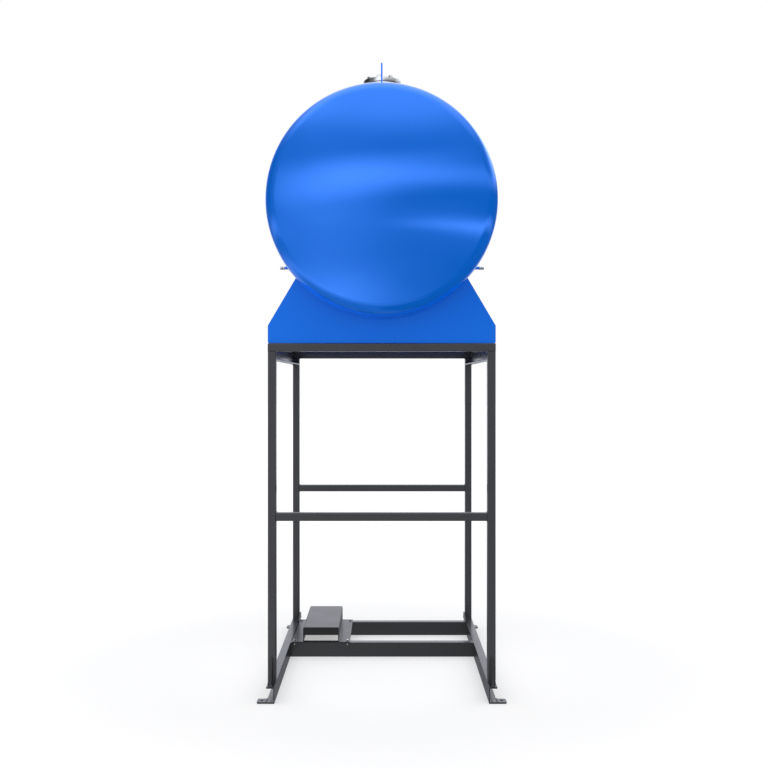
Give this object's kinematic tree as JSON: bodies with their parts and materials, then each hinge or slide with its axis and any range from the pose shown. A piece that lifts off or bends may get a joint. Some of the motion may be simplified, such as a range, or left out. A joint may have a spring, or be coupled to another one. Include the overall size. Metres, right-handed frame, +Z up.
{
  "type": "horizontal water tank on stand",
  "caption": "Horizontal steel water tank with dished ends on saddle plates, a flanged inlet on top and lifting lugs, on a tall frame stand with floor rails, anchor feet and a pump shelf.",
  "frame": {"origin": "on the floor under the middle of the stand, which is also the middle of the tank in plan", "axes": "+Z up, +Y towards the rear along the tank's axis, +X to the right seen from the front"},
  "size_m": [1.2, 1.7302, 3.2256],
  "materials": {
    "blue_paint": "smooth glossy blue enamel on welded steel",
    "dark_paint": "glossy dark grey enamel on steel tube and channel",
    "zinc": "bright zinc plating",
    "gasket": "black sheet rubber"
  },
  "bodies": {
    "root": {"tank_shell": "blue_paint", "tank_head_front": "blue_paint", "tank_head_rear": "blue_paint", "saddle_front": "blue_paint", "saddle_rear": "blue_paint", "saddle_ribs_front": "blue_paint", "saddle_ribs_rear": "blue_paint", "lifting_lug_front": "blue_paint", "lifting_lug_rear": "blue_paint", "inlet_neck": "blue_paint", "side_boss_left": "blue_paint", "side_boss_right": "blue_paint", "drain_socket": "blue_paint", "inlet_flange": "zinc", "inlet_cover": "zinc", "side_cap_left": "zinc", "side_cap_right": "zinc", "drain_plug": "zinc", "inlet_gasket": "gasket", "post_front_left": "dark_paint", "post_front_right": "dark_paint", "post_rear_left": "dark_paint", "post_rear_right": "dark_paint", "top_beam_front": "dark_paint", "top_beam_rear": "dark_paint", "top_channel_left": "dark_paint", "top_channel_right": "dark_paint", "crossbar_front": "dark_paint", "crossbar_rear": "dark_paint", "base_rail_left": "dark_paint", "base_rail_right": "dark_paint", "base_beam_middle": "dark_paint", "base_beam_rear": "dark_paint", "anchor_foot_front_left": "dark_paint", "anchor_foot_front_right": "dark_paint", "anchor_foot_rear_left": "dark_paint", "anchor_foot_rear_right": "dark_paint", "post_gusset_front_left": "dark_paint", "post_gusset_front_right": "dark_paint", "post_gusset_rear_left": "dark_paint", "post_gusset_rear_right": "dark_paint", "post_brace_left": "dark_paint", "post_brace_right": "dark_paint", "pump_shelf": "dark_paint"}
  },
  "joints": []
}
